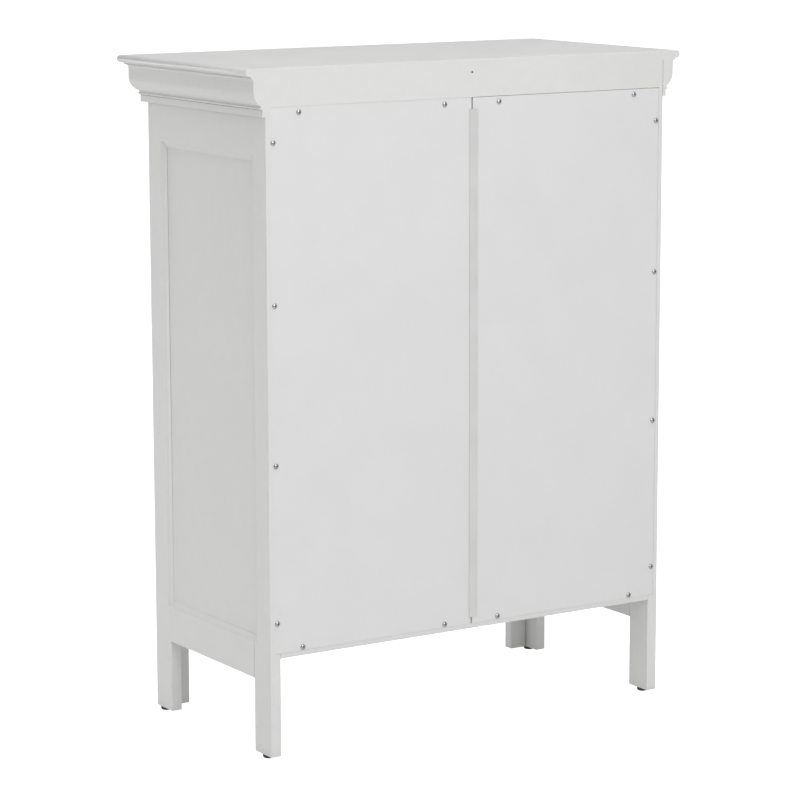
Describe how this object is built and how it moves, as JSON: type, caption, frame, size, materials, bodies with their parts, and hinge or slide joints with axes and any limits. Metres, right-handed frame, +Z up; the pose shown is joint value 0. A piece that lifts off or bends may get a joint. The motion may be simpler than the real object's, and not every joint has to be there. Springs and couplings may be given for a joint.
{
  "type": "armoire",
  "caption": "Small free-standing armoire with framed side panels, a moulded cornice, square legs, thin screwed back panels and a pair of hinged doors over shelves.",
  "frame": {"origin": "centre of the bounding box's underside, on the floor under the middle of the cabinet", "axes": "+Z up, the doors face -Y and the back panels +Y, +X is the cabinet's right-hand side for someone standing in front of the doors"},
  "size_m": [0.66, 0.337, 0.8705],
  "materials": {
    "painted_wood": "satin white paint",
    "inner_board": "white laminate, satin",
    "back_board": "white-faced hardboard, matte",
    "white_plastic": "satin moulded plastic",
    "zinc_steel": "zinc plated",
    "satin_nickel": "satin nickel plated",
    "glide_plastic": "matte",
    "magnet": "bare ferrite, matte",
    "raw_beech": "bare"
  },
  "bodies": {
    "carcass": {"right_rear_stile": "painted_wood", "right_front_stile": "painted_wood", "right_upper_rail": "painted_wood", "right_lower_rail": "painted_wood", "right_side_panel": "painted_wood", "left_rear_stile": "painted_wood", "left_front_stile": "painted_wood", "left_upper_rail": "painted_wood", "left_lower_rail": "painted_wood", "left_side_panel": "painted_wood", "right_front_post": "painted_wood", "left_front_post": "painted_wood", "front_upper_rail": "painted_wood", "front_lower_rail": "painted_wood", "bottom_board": "inner_board", "carcass_top_board": "inner_board", "upper_shelf": "inner_board", "lower_shelf": "inner_board", "shelf_pins": "zinc_steel", "right_back_panel": "back_board", "left_back_panel": "back_board", "back_joint_strip": "white_plastic", "back_screws": "zinc_steel", "rear_upper_rail": "painted_wood", "top_slab": "painted_wood", "front_crown": "painted_wood", "right_crown": "painted_wood", "left_crown": "painted_wood", "corner_blocks": "raw_beech", "leg_glides": "glide_plastic", "catch_housing": "white_plastic", "catch_magnets": "magnet", "cam_locks": "zinc_steel", "cam_bolts": "zinc_steel", "wood_dowels": "raw_beech", "hinge_frame_leaves": "satin_nickel", "hinge_pins": "satin_nickel", "frame_screws": "zinc_steel"},
    "left_door": {"left_door_hinge_stile": "painted_wood", "left_door_meeting_stile": "painted_wood", "left_door_upper_rail": "painted_wood", "left_door_lower_rail": "painted_wood", "left_door_panel": "painted_wood", "left_door_hinge_leaves": "satin_nickel", "left_door_screws": "zinc_steel", "left_door_knob": "satin_nickel", "left_door_knob_screw": "zinc_steel", "left_door_strike": "zinc_steel"},
    "right_door": {"right_door_hinge_stile": "painted_wood", "right_door_meeting_stile": "painted_wood", "right_door_upper_rail": "painted_wood", "right_door_lower_rail": "painted_wood", "right_door_panel": "painted_wood", "right_door_hinge_leaves": "satin_nickel", "right_door_screws": "zinc_steel", "right_door_knob": "satin_nickel", "right_door_knob_screw": "zinc_steel", "right_door_strike": "zinc_steel"}
  },
  "joints": [
    {"name": "left_door_hinge", "type": "hinge", "parent": "carcass", "child": "left_door", "pos_m": [-0.261, -0.1388, 0.45], "axis": [0, 0, -1], "range_deg": [0, 180]},
    {"name": "right_door_hinge", "type": "hinge", "parent": "carcass", "child": "right_door", "pos_m": [0.261, -0.1388, 0.45], "axis": [0, 0, 1], "range_deg": [0, 180]}
  ]
}
